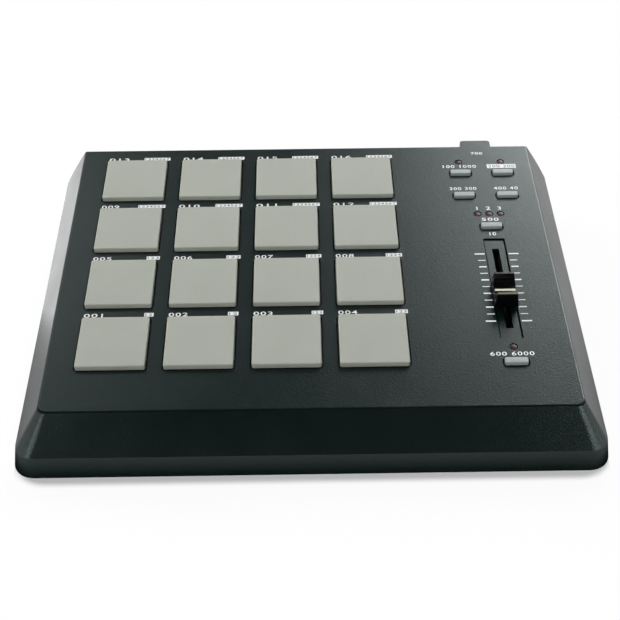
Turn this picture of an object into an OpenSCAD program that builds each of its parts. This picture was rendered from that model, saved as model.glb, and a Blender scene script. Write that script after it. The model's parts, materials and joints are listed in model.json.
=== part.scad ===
// Pad controller: a low wedge case with a grid of pressure pads, a short fader,
// six small buttons and six lamps. Its boards hang under the sloping panel.
// Millimetres, +Z up. The origin is on the floor under the middle of the outline.

/* [Pads] */
// Width and depth of one pad
pad_w = 30.3; // [26:0.1:36]
// Space between neighbouring pads
pad_space = 7.9; // [6.4:0.1:12]
// Height of a pad above the panel
pad_h = 2.2; // [1.6:0.1:5]
// Corner radius of a pad seen from above
pad_corner_r = 1.0; // [0.8:0.1:3]
// Radius of a pad's top edge
pad_edge_r = 0.7; // [0.4:0.1:1.4]
// How far a pad can be pressed
pad_travel = 0.9; // [0.5:0.1:1.5]
// Width of the lip that holds a pad under the panel
pad_lip = 1.2; // [0.8:0.1:1.5]
// Thickness of that lip
pad_lip_t = 1.2; // [0.8:0.1:2]
// Width of the raised square under a pad that presses the film
pad_press_w = 20; // [10:1:26]
// Height of that square
pad_press_h = 1.0; // [0.6:0.1:2]
// Thickness of the film under the pads
film_t = 0.4; // [0.2:0.1:0.8]
// Width of the film and its board beyond the outer pads
sensor_rim = 3.4; // [2.6:0.1:4.5]

/* [Panel] */
// Slope of the panel in degrees
panel_tilt = 4; // [0:0.5:8]
// Thickness of the panel
panel_t = 2.5; // [2:0.1:3.5]
// Corner radius of the flat panel
panel_r = 4; // [3:0.5:8]
// Space between the panel's left edge and the pads
margin_left = 13.0; // [10:0.1:30]
// Space between the panel's rear edge and the pads
margin_rear = 10.5; // [8.5:0.1:30]
// Space between the panel's front edge and the pads
margin_front = 23.9; // [18:0.1:50]
// Space between the pads and the middle of the control column
column_gap = 46.1; // [42:0.1:80]
// Space between the middle of the control column and the panel's right edge
column_margin = 25.9; // [23:0.1:60]

/* [Case] */
// How far the bevels reach out from the panel
bevel_run = 11; // [7:0.5:16]
// How far the bevels drop, square to the panel
bevel_drop = 16.7; // [12:0.1:22]
// Radius of the edge between panel and bevels
edge_r = 1.5; // [0.5:0.1:3]
// Height of the upright front below the bevel
front_h = 10.1; // [8:0.1:30]
// How far the foot of that front stands out beyond its top, also at the sides
flare = 1.8; // [0.2:0.1:3]
// Corner radius of the outline where the bevels end
base_r = 8; // [5:0.5:12]
// Wall thickness of the case
wall = 2.5; // [2:0.1:3]
// Thickness of the bottom cover
cover_t = 2.5; // [2:0.1:4]
// Gap round the bottom cover
cover_gap = 0.3; // [0.1:0.1:0.6]

/* [Buttons and lamps] */
// Width of a button
button_w = 10.2; // [8:0.1:13]
// Depth of a button
button_d = 3.5; // [3:0.1:5.5]
// Height of a button above the panel
button_h = 1.4; // [1:0.1:3]
// Radius of a button's top edge
button_edge_r = 0.7; // [0.3:0.1:0.9]
// How far a button can be pressed
button_travel = 0.5; // [0.2:0.1:0.8]
// Width of the lip that holds a button under the panel
button_lip = 1.0; // [0.6:0.1:1.4]
// Thickness of that lip
button_lip_t = 1.2; // [0.8:0.1:1.4]
// Distance between the two columns of buttons
button_pitch = 21.5; // [18:0.1:25]
// Panel's rear edge to the two upper lamps
upper_led_at = 12.8; // [10:0.1:18]
// Upper lamps to the upper buttons
upper_row_at = 9.5; // [8:0.1:14]
// Upper buttons to the middle buttons
middle_row_at = 18; // [12:0.1:24]
// Middle buttons to the three lamps
bank_led_at = 14.1; // [8:0.1:18]
// Three lamps to the bank button
bank_row_at = 9.6; // [8:0.1:14]
// Fader bay to the lower lamp
lower_led_at = 4.8; // [4:0.1:8]
// Lower lamp to the lower button
lower_row_at = 9.2; // [8:0.1:14]
// Diameter of a lamp
led_d = 3; // [2:0.1:4]
// Length of a lamp's lens
led_len = 5.3; // [4.5:0.1:6]
// How far a lamp stands out of the panel
led_proud = 0.2; // [0.1:0.1:1]
// Distance between the three lamps
led_pitch = 5.6; // [5:0.1:8]

/* [Fader] */
// Travel of the fader
fader_travel = 45; // [30:1:60]
// Place of the cap, from the front end of its travel
fader_pos = 16.5; // [2:0.5:28]
// Bank button to the fader bay
bay_at = 8.8; // [5:0.1:14]
// Width of the recessed bay
bay_w = 10.4; // [8:0.1:14]
// Depth of the recessed bay
bay_depth = 0.5; // [0.3:0.1:1.4]
// Length of the bay beyond each end of the slot
bay_end = 7; // [3:0.5:10]
// Width of the slot
slot_w = 3.3; // [2.6:0.1:5]
// Thickness of the lever, across the slot
lever_t = 1.2; // [1:0.1:1.6]
// Width of the lever, along the slot
lever_w = 5; // [4:0.1:6]
// Free play of the lever at each end of the slot
slot_play = 1.6; // [0.8:0.1:3]
// Length of the cap at its foot
cap_len = 16.2; // [14:0.1:20]
// Width of the cap at its foot
cap_w = 10.8; // [8:0.1:14]
// Length of the cap at its top
cap_top_len = 15; // [12:0.1:18]
// Width of the cap at its top
cap_top_w = 9.2; // [7:0.1:12]
// Height of the cap
cap_h = 7.4; // [6.6:0.1:10]
// Length of each flat lip at the top of the cap
cap_lip = 1.5; // [1:0.1:2.5]
// Depth of the finger hollow in the cap
cap_hollow = 4.2; // [2:0.1:4.4]
// Height of the fader's case
pot_h = 7; // [6.5:0.1:9]
// Width of the fader's case
pot_w = 9.5; // [8:0.1:12]

/* [Boards and socket] */
// Thickness of the circuit boards
board_t = 1.6; // [1:0.1:2]
// Width of the control board
control_board_w = 43; // [38:0.5:45]
// Height of a switch's body
switch_h = 3.5; // [3:0.1:4]
// Width and depth of a switch's body
switch_w = 6; // [5:0.1:7]
// Diameter of a switch's plunger
plunger_d = 3.4; // [2.5:0.1:3.6]
// Width of the hump beyond each side of the socket
hump_side = 1.75; // [1.7:0.05:4]
// How far the hump stands out of the rear wall
hump_d = 5.2; // [4:0.1:8]
// Corner radius of the hump
hump_r = 1.5; // [0.5:0.1:2.5]
// How far the socket stands left of the control column
usb_shift = 0.7; // [-3:0.1:3]
// Width of the socket's shell
usb_w = 12; // [11.5:0.1:12.1]
// Height of the socket's shell
usb_h = 10.9; // [10.4:0.1:11.2]
// Length of the socket's shell
usb_len = 16.2; // [14:0.1:18]
// Width of the ribbon cable
ribbon_w = 20; // [10:1:26]

/* [Fasteners and feet] */
// Diameter of the case screws
case_screw_d = 2.9; // [2.5:0.1:3.5]
// Diameter of the board screws
board_screw_d = 2.2; // [2:0.1:2.4]
// Diameter of a post for a case screw
post_d = 8; // [7:0.1:9]
// Diameter of a boss for a board screw
boss_d = 4.6; // [4.2:0.1:4.8]
// Diameter of a foot
foot_d = 12; // [8:0.5:16]
// Height of the case above the floor
foot_gap = 2; // [1:0.1:4]
// Depth of a foot's seat in the cover
foot_seat = 0.8; // [0.4:0.1:1.2]

/* [Clearances] */
// Gap round a pad in its opening
pad_gap = 0.4; // [0.3:0.05:0.6]
// Gap round a button or a lamp in its opening
button_gap = 0.45; // [0.2:0.05:0.6]
// Gap between sliding faces
run_gap = 0.1; // [0.05:0.01:0.15]
// Gap round pieces that pass each other or are dropped in
loose_gap = 0.3; // [0.2:0.05:0.4]
// Gap round a screw's shank
screw_gap = 0.05; // [0.03:0.01:0.1]

/* [Hidden] */
$fn = 48;
hull_fn = 32;
thin = 0.01;
over = 1;
pad_count = 4;
edge_steps = 4;
least_r = 0.25;

// Sizes that follow along the panel: s runs from its front edge to the rear
pitch = pad_w + pad_space;
pads_w = pad_count * pad_w + (pad_count - 1) * pad_space;
panel_w = margin_left + pads_w + column_gap + column_margin;
panel_d = margin_front + pads_w + margin_rear;
grid_x = margin_left + pads_w / 2 - panel_w / 2;
grid_s = margin_front + pads_w / 2;
column_x = panel_w / 2 - column_margin;

// Outline of the case on the floor
bevel_angle = atan2(bevel_drop, bevel_run);
case_w = panel_w + 2 * bevel_run;
case_d = (bevel_run + panel_d) * cos(panel_tilt) - bevel_drop * sin(panel_tilt);
front_y = (flare - case_d - hump_d) / 2;
rear_y = front_y + case_d;
band_z = foot_gap + front_h;
cover_top = foot_gap + cover_t;
band_wall = wall / sin(bevel_angle);
cover_inset = band_wall + flare * cover_t / front_h + cover_gap;
case_top = band_z + bevel_drop + (panel_d + bevel_run) * sin(panel_tilt) + pad_h + over;

// Places of the controls along the panel
upper_led_s = panel_d - upper_led_at;
upper_row_s = upper_led_s - upper_row_at;
middle_row_s = upper_row_s - middle_row_at;
bank_led_s = middle_row_s - bank_led_at;
bank_row_s = bank_led_s - bank_row_at;
slot_len = fader_travel + lever_w + 2 * slot_play;
bay_len = slot_len + 2 * bay_end;
fader_s = bank_row_s - bay_at - bay_len / 2;
lower_led_s = fader_s - bay_len / 2 - lower_led_at;
lower_row_s = lower_led_s - lower_row_at;
bay_r = 1;
slot_r = 0.4;
cap_s = fader_s - fader_travel / 2 + fader_pos;
half_pitch = button_pitch / 2;
button_places = [
    [column_x - half_pitch, upper_row_s],
    [column_x + half_pitch, upper_row_s],
    [column_x - half_pitch, middle_row_s],
    [column_x + half_pitch, middle_row_s],
    [column_x, bank_row_s],
    [column_x, lower_row_s]
];
led_places = [
    [column_x - half_pitch, upper_led_s],
    [column_x + half_pitch, upper_led_s],
    [column_x - led_pitch, bank_led_s],
    [column_x, bank_led_s],
    [column_x + led_pitch, bank_led_s],
    [column_x, lower_led_s]
];

// Depths below the panel's face, all negative
under = -panel_t;
lip_top = under - run_gap;
pad_lip_low = lip_top - pad_lip_t;
pad_low = pad_lip_low - pad_press_h;
film_top = pad_low - pad_travel - run_gap;
sensor_top = film_top - film_t;
sensor_low = sensor_top - board_t;
pot_top = under - loose_gap;
board_top = pot_top - pot_h;
board_low = board_top - board_t;
switch_top = board_top + switch_h;
button_lip_low = lip_top - button_lip_t;
stem_h = 1;
stem_low = button_lip_low - stem_h;
led_low = led_proud - led_len;
led_flange_h = 1;
led_flange = 0.4;
led_flange_d = led_d + 2 * led_flange;
led_dome_share = 1.2;
led_dome_r = led_dome_share * led_d;
lead_t = 0.5;
lead_pitch = 1.6;
lead_tail = 1.2;

// The pads' lips, the rubber grid round them and the boards
lip_w = pad_w + 2 * (pad_gap + pad_lip);
lip_r = pad_corner_r + pad_gap + pad_lip;
window_w = lip_w + 2 * loose_gap;
sensor_w = pads_w + 2 * sensor_rim;
grid_steps = [for (i = [1 : pad_count - 1]) (i - pad_count / 2) * pitch];
sensor_screws = [for (x = grid_steps, s = grid_steps) [grid_x + x, grid_s + s]];
board_rear_s = s_at(rear_y - wall, board_low) - loose_gap;
board_front_s = lower_row_s - switch_w - loose_gap;
board_rim = 3.4;
board_r = 2;
control_screws = [
    for (x = [-1, 1], s = [board_front_s + board_rim, (upper_row_s + middle_row_s) / 2])
        [column_x + x * (control_board_w / 2 - board_rim), s]
];

// Case posts: three on each side and two between the boards
post_gap = 1;
post_inset = wall + post_d / 2 + post_gap;
side_x = case_w / 2 - post_inset;
between_x = (grid_x + sensor_w / 2 + column_x - control_board_w / 2) / 2;
post_rows = [front_y + 2 * post_inset, (front_y + rear_y) / 2, rear_y - 2 * post_inset];
posts = concat(
    [for (x = [-side_x, side_x], y = post_rows) [x, y]],
    [for (y = [post_rows[0], post_rows[2]]) [between_x, y]]
);
case_head_d = 2 * case_screw_d;
case_head_h = case_screw_d / 2;
case_screw_len = 12;
screw_bite = 0.8;
foot_chamfer = 0.5;
foot_x = case_w / 2 - bevel_run - foot_d;
foot_rows = [front_y + bevel_run + foot_d, rear_y - bevel_run - foot_d];

// The square USB socket hangs under the control board
usb_top = board_low;
usb_mid = usb_top - usb_h / 2;
usb_low = usb_top - usb_h;
usb_x = column_x - usb_shift;
hump_w = usb_w + 2 * hump_side;
hump_wall = 1.5;
hump_inner_r = 0.3;
usb_recess = 0.6;
mouth_cut = 4 * hump_wall;
usb_mouth_s = s_at(rear_y + hump_d, usb_low) - usb_recess;
shell_t = 0.3;
plug_w = 8.5;
plug_h = 7.8;
plug_depth = 9;
plug_chamfer = 1.6;
tongue_w = 5.6;
tongue_h = 3.2;
tongue_back = 1;
contact_w = 1;
contact_t = 0.3;
contact_gap = 2.5;

// Ribbon between the boards, and its two sockets
socket_w = 5;
socket_h = 3;
socket_inset = 1.5;
ribbon_t = 0.5;
ribbon_s = grid_s;
ribbon_steps = 12;
ribbon_sag = 2.5;
ribbon_from = [grid_x + sensor_w / 2 - socket_inset, sensor_low - socket_h / 2];
ribbon_to = [column_x - control_board_w / 2 + socket_inset, board_low - socket_h / 2];

// Chips
chip_w = 12;
chip_t = 1.4;
chip_s = bank_row_s;
mux_w = 6;
mux_d = 10;
mux_t = 1.6;

// Fader's case and what moves in it
pot_wall = 0.8;
track_t = 1.2;
pot_end = 4;
pot_len = slot_len + 2 * (pot_wall + pot_end);
carriage_len = 9;
carriage_top = pot_top - pot_wall - 2 * run_gap;
carriage_low = board_top + track_t + run_gap;
carriage_w = pot_w - 2 * pot_wall - 2 * loose_gap;
lever_grip = 1.5;
lever_low = carriage_top - lever_grip;
cap_low = 0.5;
cap_floor = 1.2;
lever_top = cap_low + cap_h - cap_hollow - cap_floor;
cap_foot = 1.2;
cap_foot_r = 1.2;
hollow_chord = cap_top_len / 2 - cap_lip;
hollow_r = (hollow_chord * hollow_chord + cap_hollow * cap_hollow) / (2 * cap_hollow);
groove_d = 0.7;
groove_angles = [24, 36, 48];

pad_names = [for (i = [1 : pad_count * pad_count]) str("pad_", i)];
button_names = [
    "upper_left_button", "upper_right_button", "middle_left_button",
    "middle_right_button", "bank_button", "lower_button"
];
plunger_names = [
    "upper_left_plunger", "upper_right_plunger", "middle_left_plunger",
    "middle_right_plunger", "bank_plunger", "lower_plunger"
];

// Place along the panel of a point at depth z that lies over y on the floor
function s_at(y, z) =
    (y - front_y + (bevel_drop + z) * sin(panel_tilt)) / cos(panel_tilt) - bevel_run;

// Panel frame: X to the right, Y up the slope from the panel's front edge, Z out of the panel
module on_panel() {
    translate([0, front_y, band_z])
        rotate([panel_tilt, 0, 0])
            translate([0, bevel_run, bevel_drop])
                children();
}

module at(places) {
    for (p = places)
        translate([p[0], p[1], 0])
            children();
}

module rounded(w, d, r) {
    square([w - 2 * r, d], center = true);
    square([w, d - 2 * r], center = true);
    for (x = [-1, 1], y = [-1, 1])
        translate([x * (w / 2 - r), y * (d / 2 - r)])
            circle(r);
}

// Upright plate with rounded corners between two heights
module slab(w, d, r, low, high) {
    translate([0, 0, low])
        linear_extrude(high - low)
            rounded(w, d, r);
}

module block(w, d, low, high) {
    translate([-w / 2, -d / 2, low])
        cube([w, d, high - low]);
}

// Block whose top edge is rounded in steps, for one hull
module soft_block(w, d, corner_r, soft_r, low, high) {
    r = min(soft_r, corner_r - least_r);
    hull() {
        soft_layer(w, d, corner_r, low);
        for (i = [0 : edge_steps]) {
            a = 90 * i / edge_steps;
            inset = r * (1 - sin(a));
            soft_layer(w - 2 * inset, d - 2 * inset, corner_r - inset, high - r + r * cos(a) - thin);
        }
    }
}

module soft_layer(w, d, r, z) {
    for (x = [-1, 1], y = [-1, 1])
        translate([x * (w / 2 - r), y * (d / 2 - r), z])
            cylinder(r = r, h = thin, $fn = hull_fn / 2);
}

// Loops of the case's skin, drawn past the rear wall: one in the panel frame, one on the floor
module roof_layer(run, z) {
    r = panel_r + (base_r - panel_r) * run / bevel_run;
    for (x = [-1, 1], s = [r - run, panel_d + 2 * base_r])
        translate([x * (panel_w / 2 + run - r), s, z - thin])
            cylinder(r = r, h = thin, $fn = hull_fn);
}

module floor_layer(grow, z) {
    r = base_r + grow;
    for (x = [-1, 1], y = [front_y - grow + r, rear_y + 2 * base_r])
        translate([x * (case_w / 2 + grow - r), y, z])
            cylinder(r = r, h = thin, $fn = hull_fn);
}

// Outside of the case: the flat panel, its bevels and the upright band that flares to the floor
module outer_form() {
    tangent = edge_r * tan(bevel_angle / 2);
    hull() {
        on_panel() {
            for (i = [0 : edge_steps]) {
                a = bevel_angle * i / edge_steps;
                roof_layer(edge_r * sin(a) - tangent, edge_r * (cos(a) - 1));
            }
            roof_layer(bevel_run, -bevel_drop);
        }
        floor_layer(flare, foot_gap);
    }
}

// Inside of the case, parallel to its outside
module inner_form() {
    hull() {
        on_panel() {
            roof_layer(inner_run(under), under);
            roof_layer(inner_run(-bevel_drop), -bevel_drop);
        }
        floor_layer(flare * band_z / front_h - band_wall, 0);
    }
}

function inner_run(z) = (-wall - z * cos(bevel_angle)) / sin(bevel_angle);

// Outline of the case on the floor, with the hump round the socket
module case_outline(inset, rear_inset, hump_inset) {
    depth = case_d + flare - inset - rear_inset;
    translate([0, rear_y - rear_inset - depth / 2])
        rounded(case_w + 2 * (flare - inset), depth, base_r + flare - inset);
    reach = hump_d - hump_inset + wall + over;
    translate([usb_x, rear_y + hump_d - hump_inset - reach / 2])
        rounded(hump_w - 2 * hump_inset, reach, max(hump_r - hump_inset, hump_inner_r));
}

module case_shape() {
    intersection() {
        linear_extrude(case_top)
            case_outline(0, 0, 0);
        outer_form();
    }
}

module case_hollow() {
    intersection() {
        linear_extrude(case_top)
            case_outline(wall, wall, hump_wall);
        inner_form();
    }
}

// Posts and bosses that stay standing in the hollow
module case_posts() {
    at(posts)
        translate([0, 0, cover_top])
            cylinder(d = post_d, h = case_top);
    on_panel() {
        at(sensor_screws)
            translate([0, 0, sensor_top])
                cylinder(d = boss_d, h = panel_t - sensor_top);
        at(control_screws)
            translate([0, 0, board_top])
                cylinder(d = boss_d, h = panel_t - board_top);
    }
}

module screw_pilots() {
    at(posts)
        translate([0, 0, cover_top - over])
            cylinder(d = case_screw_d + 2 * screw_gap, h = case_screw_len + over);
    on_panel() {
        at(sensor_screws)
            translate([0, 0, sensor_top - over])
                cylinder(d = board_screw_d + 2 * screw_gap, h = under - sensor_top + over);
        at(control_screws)
            translate([0, 0, board_top - over])
                cylinder(d = board_screw_d + 2 * screw_gap, h = under - board_top + over);
    }
}

module panel_openings() {
    for (x = [0 : pad_count - 1], y = [0 : pad_count - 1])
        translate(pad_place(x, y))
            slab(pad_w + 2 * pad_gap, pad_w + 2 * pad_gap, pad_corner_r + pad_gap, under - over, over);
    at(button_places)
        slab(
            button_w + 2 * button_gap, button_d + 2 * button_gap, button_edge_r + button_gap,
            under - over, over
        );
    at(led_places)
        translate([0, 0, under - over])
            cylinder(d = led_d + 2 * button_gap, h = panel_t + 2 * over);
    translate([column_x, fader_s, 0]) {
        slab(bay_w, bay_len, bay_r, -bay_depth, over);
        slab(slot_w, slot_len, slot_r, under - over, over);
    }
}

module top_housing() {
    color([0.16, 0.19, 0.18])
        difference() {
            case_shape();
            difference() {
                case_hollow();
                case_posts();
            }
            screw_pilots();
            on_panel() {
                panel_openings();
                translate([usb_x, usb_mouth_s, usb_mid])
                    cube([usb_w + loose_gap, mouth_cut, usb_h + 2 * loose_gap], center = true);
            }
        }
}

module bottom_cover() {
    color([0.13, 0.14, 0.14])
        difference() {
            translate([0, 0, foot_gap])
                linear_extrude(cover_t)
                    case_outline(cover_inset, wall + cover_gap, hump_wall + cover_gap);
            at(posts) {
                cylinder(d = case_screw_d + 2 * loose_gap, h = cover_top + over);
                cylinder(d = case_head_d + 2 * loose_gap, h = foot_gap + case_head_h);
            }
            at(feet())
                cylinder(d = foot_d + 2 * loose_gap, h = foot_gap + foot_seat);
        }
}

function feet() = [for (x = [-foot_x, foot_x], y = foot_rows) [x, y]];

module rubber_feet() {
    color([0.07, 0.07, 0.07])
        at(feet()) {
            cylinder(d1 = foot_d - 2 * foot_chamfer, d2 = foot_d, h = foot_chamfer);
            translate([0, 0, foot_chamfer])
                cylinder(d = foot_d, h = foot_gap + foot_seat - foot_chamfer);
        }
}

// Pan-head screw that points up from its head's seat at z = 0
module screw(d, len, head_d, head_h) {
    translate([0, 0, -head_h])
        cylinder(d = head_d, h = head_h);
    cylinder(d = d, h = len);
}

module case_screws() {
    color([0.45, 0.45, 0.46])
        at(posts)
            translate([0, 0, foot_gap + case_head_h])
                screw(case_screw_d, case_screw_len - case_head_h, case_head_d, case_head_h);
}

function pad_place(column, row) = [
    grid_x + (column - (pad_count - 1) / 2) * pitch,
    grid_s + (row - (pad_count - 1) / 2) * pitch,
    0
];

// Pads are counted from the front left, row by row
module pad(number) {
    column = (number - 1) % pad_count;
    row = floor((number - 1) / pad_count);
    color([0.66, 0.67, 0.64])
        on_panel()
            translate(pad_place(column, row)) {
                soft_block(pad_w, pad_w, pad_corner_r, pad_edge_r, lip_top, pad_h);
                slab(lip_w, lip_w, lip_r, pad_lip_low, lip_top);
                block(pad_press_w, pad_press_w, pad_low, pad_lip_low);
            }
}

module pad_mat() {
    color([0.3, 0.31, 0.3])
        on_panel()
            difference() {
                translate([grid_x, grid_s, 0])
                    slab(sensor_w, sensor_w, lip_r, film_top, under);
                for (x = [0 : pad_count - 1], y = [0 : pad_count - 1])
                    translate(pad_place(x, y))
                        slab(window_w, window_w, lip_r + loose_gap, film_top - over, under + over);
                at(sensor_screws)
                    translate([0, 0, film_top - over])
                        cylinder(d = boss_d + 2 * loose_gap, h = under - film_top + 2 * over);
            }
}

module sensor_film() {
    color([0.55, 0.42, 0.2])
        on_panel()
            difference() {
                translate([grid_x, grid_s, 0])
                    slab(sensor_w, sensor_w, lip_r, sensor_top, film_top);
                at(sensor_screws)
                    translate([0, 0, sensor_top - over])
                        cylinder(d = boss_d + 2 * loose_gap, h = film_t + 2 * over);
            }
}

module sensor_board() {
    color([0.1, 0.35, 0.2])
        on_panel()
            difference() {
                translate([grid_x, grid_s, 0])
                    slab(sensor_w, sensor_w, lip_r, sensor_low, sensor_top);
                at(sensor_screws)
                    translate([0, 0, sensor_low - over])
                        cylinder(d = board_screw_d + 2 * loose_gap, h = board_t + 2 * over);
            }
}

module board_screws(places, seat, reach) {
    color([0.75, 0.75, 0.76])
        on_panel()
            at(places)
                translate([0, 0, seat])
                    screw(board_screw_d, reach, 2 * board_screw_d, board_screw_d / 2);
}

module multiplexer_chips() {
    color([0.08, 0.08, 0.08])
        on_panel()
            for (i = [-1 : 1])
                translate([grid_x + i * pitch, grid_s + pitch / 2, 0])
                    block(mux_w, mux_d, sensor_low - mux_t, sensor_low);
}

module button(number) {
    color([0.55, 0.56, 0.55])
        on_panel()
            translate(button_places[number]) {
                soft_block(button_w, button_d, button_edge_r + least_r, button_edge_r, lip_top, button_h);
                block(
                    button_w + 2 * (button_gap + button_lip), button_d + 2 * (button_gap + button_lip),
                    button_lip_low, lip_top
                );
                translate([0, 0, stem_low])
                    cylinder(d = plunger_d, h = stem_h);
            }
}

// The plunger fills the height between the button's stem and the inside of the switch
module plunger(number) {
    color([0.1, 0.1, 0.1])
        on_panel()
            translate(button_places[number])
                translate([0, 0, switch_top - stem_h])
                    cylinder(d = plunger_d, h = stem_low - switch_top + stem_h);
}

module switch_bodies() {
    well = stem_h + button_travel + loose_gap;
    color([0.2, 0.2, 0.2])
        on_panel()
            at(button_places)
                difference() {
                    block(switch_w, switch_w, board_top, switch_top);
                    translate([0, 0, switch_top - well])
                        cylinder(d = plunger_d + 2 * run_gap, h = well + over);
                }
}

module led_lenses() {
    color([0.35, 0.02, 0.02])
        on_panel()
            at(led_places) {
                intersection() {
                    translate([0, 0, led_low])
                        cylinder(d = led_d, h = led_len);
                    translate([0, 0, led_proud - led_dome_r])
                        sphere(led_dome_r);
                }
                translate([0, 0, led_low])
                    cylinder(d = led_d, h = led_len - led_d);
                translate([0, 0, led_low])
                    cylinder(d = led_flange_d, h = led_flange_h);
            }
}

module led_leads() {
    color([0.8, 0.8, 0.8])
        on_panel()
            at(led_places)
                for (x = [-1, 1])
                    translate([x * lead_pitch / 2, 0, 0])
                        block(lead_t, lead_t, board_low - lead_tail, led_low);
}

module control_board() {
    board_d = board_rear_s - board_front_s;
    color([0.1, 0.35, 0.2])
        on_panel()
            difference() {
                translate([column_x, board_front_s + board_d / 2, 0])
                    slab(control_board_w, board_d, board_r, board_low, board_top);
                at(control_screws)
                    translate([0, 0, board_low - over])
                        cylinder(d = board_screw_d + 2 * loose_gap, h = board_t + 2 * over);
                at(led_places)
                    for (x = [-1, 1])
                        translate([x * lead_pitch / 2, 0, board_low - over])
                            cylinder(d = 2 * lead_t, h = board_t + 2 * over);
            }
}

module processor_chip() {
    color([0.08, 0.08, 0.08])
        on_panel()
            translate([column_x, chip_s, 0])
                block(chip_w, chip_w, board_low - chip_t, board_low);
}

module fader_case() {
    color([0.7, 0.71, 0.72])
        on_panel()
            translate([column_x, fader_s, 0])
                difference() {
                    block(pot_w, pot_len, board_top, pot_top);
                    block(
                        pot_w - 2 * pot_wall, pot_len - 2 * pot_wall,
                        board_top - over, pot_top - pot_wall
                    );
                    block(lever_t + 2 * loose_gap, slot_len, pot_top - pot_wall - over, pot_top + over);
                }
}

module fader_track() {
    color([0.35, 0.2, 0.1])
        on_panel()
            translate([column_x, fader_s, 0])
                block(
                    pot_w - 2 * pot_wall - 2 * run_gap, pot_len - 2 * pot_wall - 2 * run_gap,
                    board_top, board_top + track_t
                );
}

module fader_carriage() {
    color([0.85, 0.85, 0.8])
        on_panel()
            translate([column_x, cap_s, 0])
                difference() {
                    block(carriage_w, carriage_len, carriage_low, carriage_top);
                    block(lever_t, lever_w, lever_low, carriage_top + over);
                }
}

module fader_lever() {
    color([0.75, 0.75, 0.76])
        on_panel()
            translate([column_x, cap_s, 0])
                block(lever_t, lever_w, lever_low, lever_top);
}

// Cap with a finger hollow across it, ridged on both slopes
module fader_cap() {
    cap_top = cap_low + cap_h;
    hollow_z = cap_top - cap_hollow + hollow_r;
    color([0.05, 0.05, 0.05])
        on_panel()
            translate([column_x, cap_s, 0])
                difference() {
                    hull() {
                        soft_layer(cap_w, cap_len, cap_foot_r, cap_low);
                        soft_layer(cap_w, cap_len, cap_foot_r, cap_low + cap_foot);
                        soft_layer(cap_top_w, cap_top_len, cap_foot_r / 2, cap_top - thin);
                    }
                    translate([0, 0, hollow_z])
                        rotate([0, 90, 0])
                            cylinder(r = hollow_r, h = 2 * cap_w, center = true);
                    for (side = [-1, 1], a = groove_angles)
                        translate([0, side * hollow_r * sin(a), hollow_z - hollow_r * cos(a)])
                            rotate([0, 90, 0])
                                cylinder(d = groove_d, h = 2 * cap_w, center = true);
                    block(lever_t, lever_w, cap_low - over, lever_top);
                }
}

// Points along the socket: X across, Z up, Y into the case from the mouth
module at_socket() {
    on_panel()
        translate([usb_x, usb_mouth_s, usb_mid])
            rotate([90, 0, 0])
                children();
}

module usb_shell() {
    color([0.75, 0.75, 0.76])
        at_socket()
            linear_extrude(usb_len)
                difference() {
                    square([usb_w, usb_h], center = true);
                    square([usb_w - 2 * shell_t, usb_h - 2 * shell_t], center = true);
                }
}

// Outline of the plug, with its two cut corners
module plug_outline() {
    polygon([
        [-plug_w / 2, -plug_h / 2],
        [plug_w / 2, -plug_h / 2],
        [plug_w / 2, plug_h / 2 - plug_chamfer],
        [plug_w / 2 - plug_chamfer, plug_h / 2],
        [-plug_w / 2 + plug_chamfer, plug_h / 2],
        [-plug_w / 2, plug_h / 2 - plug_chamfer]
    ]);
}

module usb_insulator() {
    color([0.9, 0.9, 0.88])
        at_socket() {
            difference() {
                linear_extrude(usb_len)
                    square([usb_w - 2 * shell_t, usb_h - 2 * shell_t], center = true);
                translate([0, 0, -over])
                    linear_extrude(plug_depth + over)
                        plug_outline();
            }
            translate([0, 0, tongue_back])
                linear_extrude(plug_depth)
                    square([tongue_w, tongue_h], center = true);
        }
}

module usb_contacts() {
    color([0.85, 0.7, 0.3])
        at_socket()
            for (x = [-1, 1], y = [-1, 1])
                translate([x * contact_gap / 2, y * (tongue_h + contact_t) / 2, 2 * tongue_back])
                    linear_extrude(plug_depth - 2 * tongue_back)
                        square([contact_w, contact_t], center = true);
}

function ribbon_point(t) = ribbon_from
    + (ribbon_to - ribbon_from) * t
    - [0, ribbon_sag * sin(180 * t)];

// Flat cable that sags between its two sockets
module ribbon_cable() {
    line = [for (i = [0 : ribbon_steps]) ribbon_point(i / ribbon_steps)];
    lower = [for (p = line) p - [0, ribbon_t / 2]];
    upper = [for (i = [ribbon_steps : -1 : 0]) line[i] + [0, ribbon_t / 2]];
    color([0.85, 0.85, 0.82])
        on_panel()
            translate([0, ribbon_s + ribbon_w / 2, 0])
                rotate([90, 0, 0])
                    linear_extrude(ribbon_w)
                        polygon(concat(lower, upper));
}

module ribbon_sockets() {
    color([0.9, 0.88, 0.8])
        on_panel() {
            translate([ribbon_from[0] - socket_w / 2, ribbon_s, 0])
                block(socket_w, ribbon_w + socket_inset, sensor_low - socket_h, sensor_low);
            translate([ribbon_to[0] + socket_w / 2, ribbon_s, 0])
                block(socket_w, ribbon_w + socket_inset, board_low - socket_h, board_low);
        }
}

top_housing();
bottom_cover();
rubber_feet();
case_screws();
for (i = [1 : len(pad_names)])
    pad(i);
pad_mat();
sensor_film();
sensor_board();
board_screws(sensor_screws, sensor_low, board_t + screw_bite * (under - sensor_top));  // sensor_board_screws
multiplexer_chips();
for (i = [0 : len(button_names) - 1]) {
    button(i);
    plunger(i);
}
switch_bodies();
led_lenses();
led_leads();
fader_case();
fader_track();
fader_carriage();
fader_lever();
fader_cap();
control_board();
board_screws(control_screws, board_low, board_t + screw_bite * (under - board_top));  // control_board_screws
processor_chip();
usb_shell();
usb_insulator();
usb_contacts();
ribbon_cable();
ribbon_sockets();
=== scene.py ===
import json
import math

import bmesh
import bpy
import numpy as np
from mathutils import Matrix, Vector


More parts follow.
